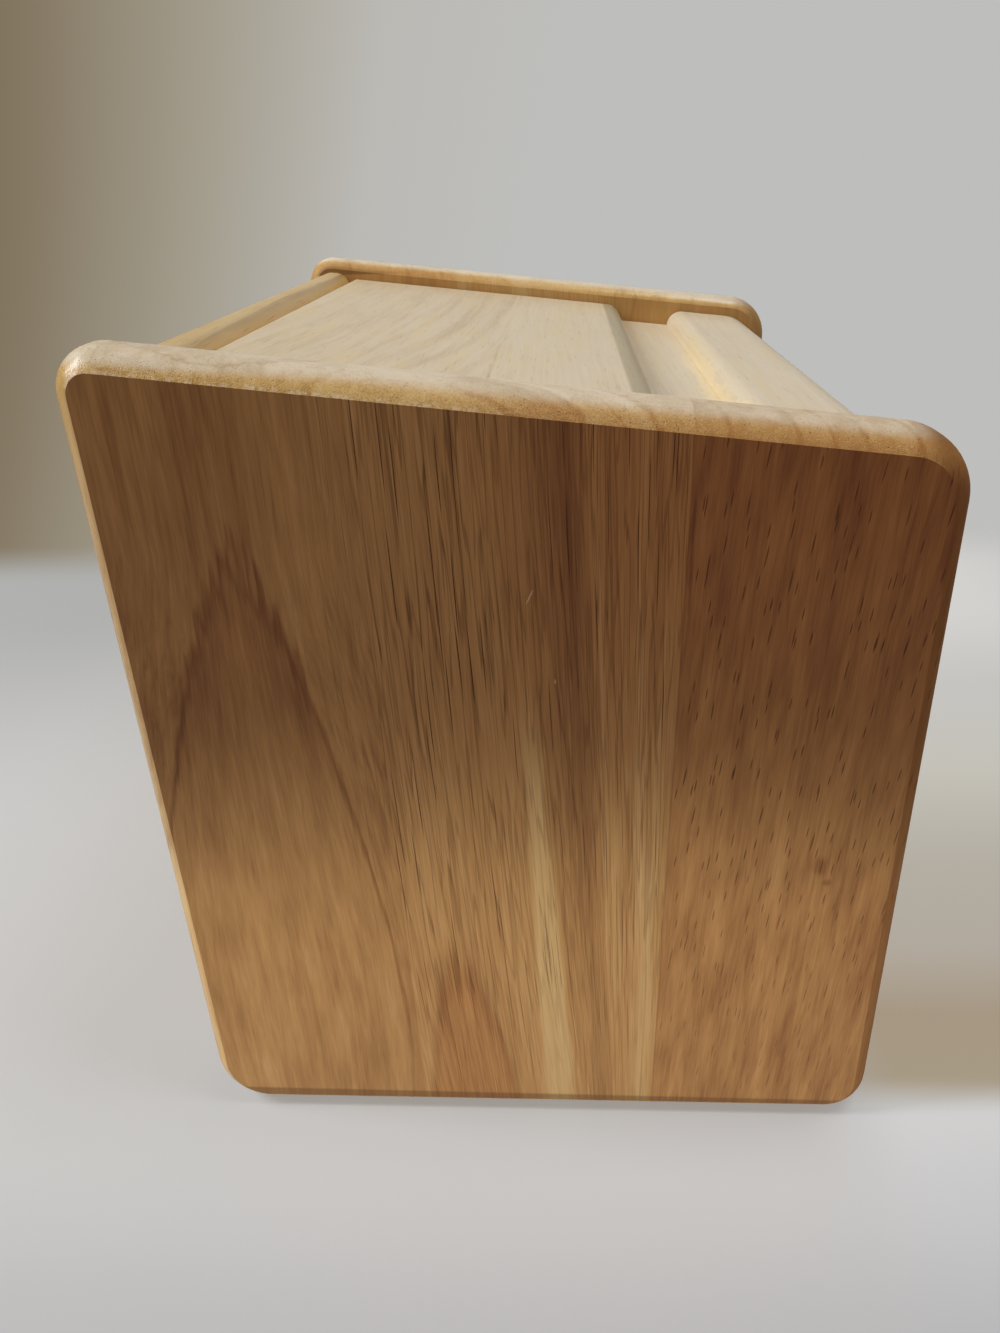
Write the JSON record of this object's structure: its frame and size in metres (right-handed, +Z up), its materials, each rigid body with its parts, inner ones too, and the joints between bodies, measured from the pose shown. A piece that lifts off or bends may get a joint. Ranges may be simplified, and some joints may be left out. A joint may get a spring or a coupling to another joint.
{
  "type": "recipe box",
  "caption": "Wooden recipe card box: rounded end panels carry a slanted lid on blind hinge pins, with a finger channel and a rounded nose along the lid's front.",
  "frame": {"origin": "on the table, under the middle of the box's bounding box", "axes": "+X along the box from end panel to end panel, the front faces -Y, +Z up"},
  "size_m": [0.1904, 0.145, 0.167],
  "materials": {
    "end_panel_wood": "clear satin lacquer",
    "board_wood": "clear satin lacquer",
    "lid_wood": "clear satin lacquer",
    "bottom_wood": "sanded, thin lacquer",
    "dowel_wood": "bare",
    "pin_steel": "drawn wire"
  },
  "bodies": {
    "box": {"left_end_panel": "end_panel_wood", "right_end_panel": "end_panel_wood", "back_board": "board_wood", "front_board": "board_wood", "bottom_board": "bottom_wood", "back_dowels": "dowel_wood", "front_dowels": "dowel_wood"},
    "lid": {"lid": "lid_wood", "left_hinge_pin": "pin_steel", "right_hinge_pin": "pin_steel"}
  },
  "joints": [
    {"name": "lid_hinge", "type": "hinge", "parent": "box", "child": "lid", "pos_m": [0, 0.05277, 0.15616], "axis": [-1, 0, 0], "range_deg": [0, 125]}
  ]
}
